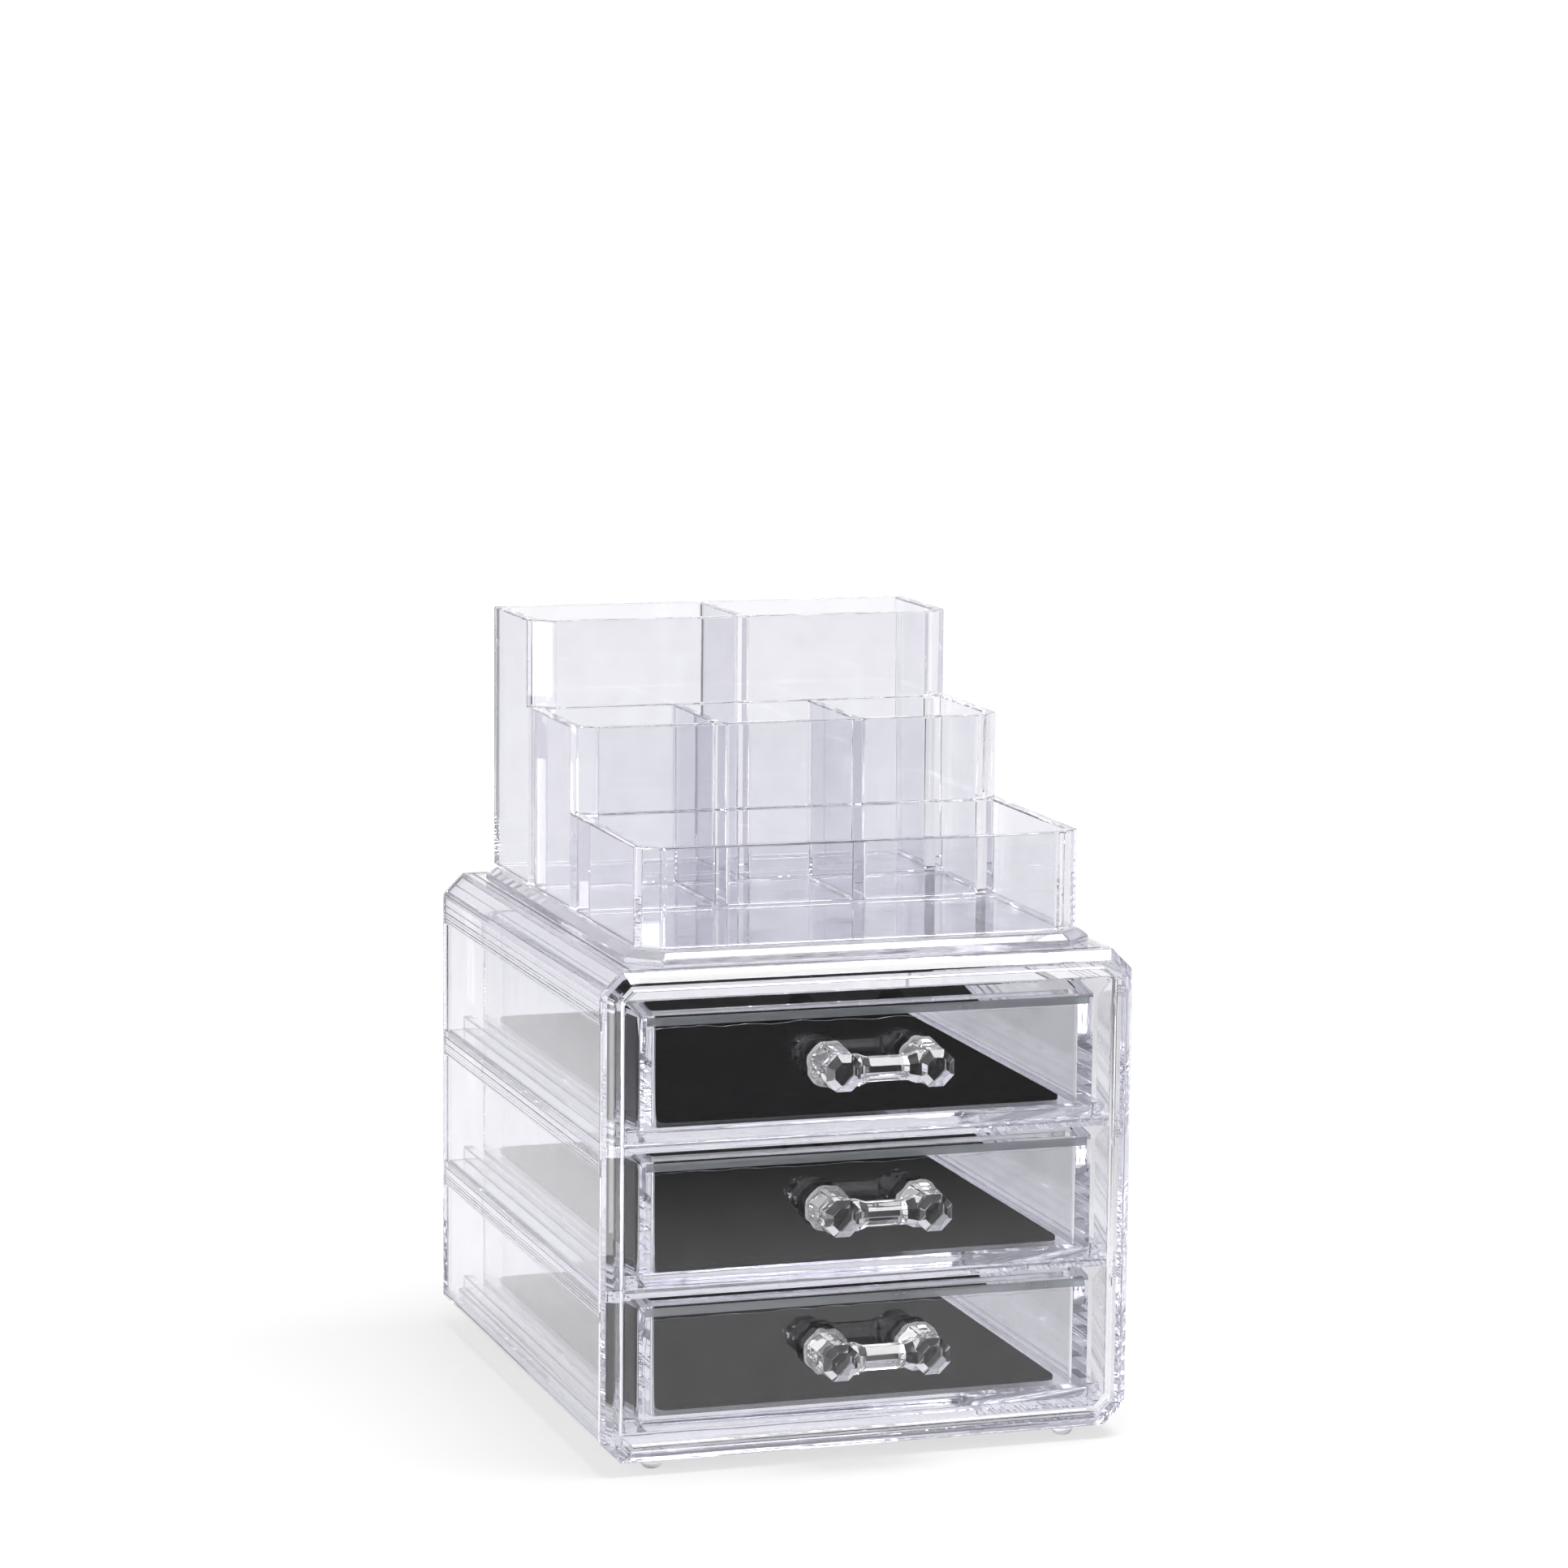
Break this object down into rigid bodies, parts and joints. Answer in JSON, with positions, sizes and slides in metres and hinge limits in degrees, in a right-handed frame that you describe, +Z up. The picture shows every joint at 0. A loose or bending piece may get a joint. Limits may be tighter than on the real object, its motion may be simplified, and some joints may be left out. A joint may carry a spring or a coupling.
{
  "type": "cosmetics organizer with drawers",
  "caption": "Clear desktop cosmetics organizer: a drawer chest with faceted handles and a stepped tray that stands on its top.",
  "frame": {"origin": "on the ground under the middle of the whole object, handles included", "axes": "+Z up, drawer fronts towards -Y, X = 0 is the plane of symmetry"},
  "size_m": [0.135, 0.1704, 0.1944],
  "materials": {
    "chest_plastic": "polished clear polystyrene",
    "drawer_plastic": "polished clear polystyrene",
    "tray_plastic": "polished clear polystyrene",
    "handle_acrylic": "polished faceted clear acrylic",
    "felt": "black flocked felt",
    "bumper": "clear soft bumper"
  },
  "bodies": {
    "chest": {"front_frame": "chest_plastic", "back_panel": "chest_plastic", "left_side": "chest_plastic", "right_side": "chest_plastic", "top_panel": "chest_plastic", "bottom_panel": "chest_plastic", "shelf_lower": "chest_plastic", "shelf_middle": "chest_plastic", "shelf_upper": "chest_plastic", "foot_front_left": "bumper", "foot_front_right": "bumper", "foot_rear_left": "bumper", "foot_rear_right": "bumper"},
    "drawer_lower": {"drawer_lower_front": "drawer_plastic", "drawer_lower_box": "drawer_plastic", "drawer_lower_handle": "handle_acrylic", "drawer_lower_liner": "felt"},
    "drawer_middle": {"drawer_middle_front": "drawer_plastic", "drawer_middle_box": "drawer_plastic", "drawer_middle_handle": "handle_acrylic", "drawer_middle_liner": "felt"},
    "drawer_upper": {"drawer_upper_front": "drawer_plastic", "drawer_upper_box": "drawer_plastic", "drawer_upper_handle": "handle_acrylic", "drawer_upper_liner": "felt"},
    "tray": {"tray_walls": "tray_plastic", "tray_base": "tray_plastic"}
  },
  "joints": [
    {"name": "drawer_lower_slide", "type": "slide", "parent": "chest", "child": "drawer_lower", "axis": [0, -1, 0], "range_m": [0, 0.12]},
    {"name": "drawer_middle_slide", "type": "slide", "parent": "chest", "child": "drawer_middle", "axis": [0, -1, 0], "range_m": [0, 0.12]},
    {"name": "drawer_upper_slide", "type": "slide", "parent": "chest", "child": "drawer_upper", "axis": [0, -1, 0], "range_m": [0, 0.12]},
    {"name": "tray_lift", "type": "slide", "parent": "chest", "child": "tray", "axis": [0, 0, 1], "range_m": [0, 0.05]}
  ]
}
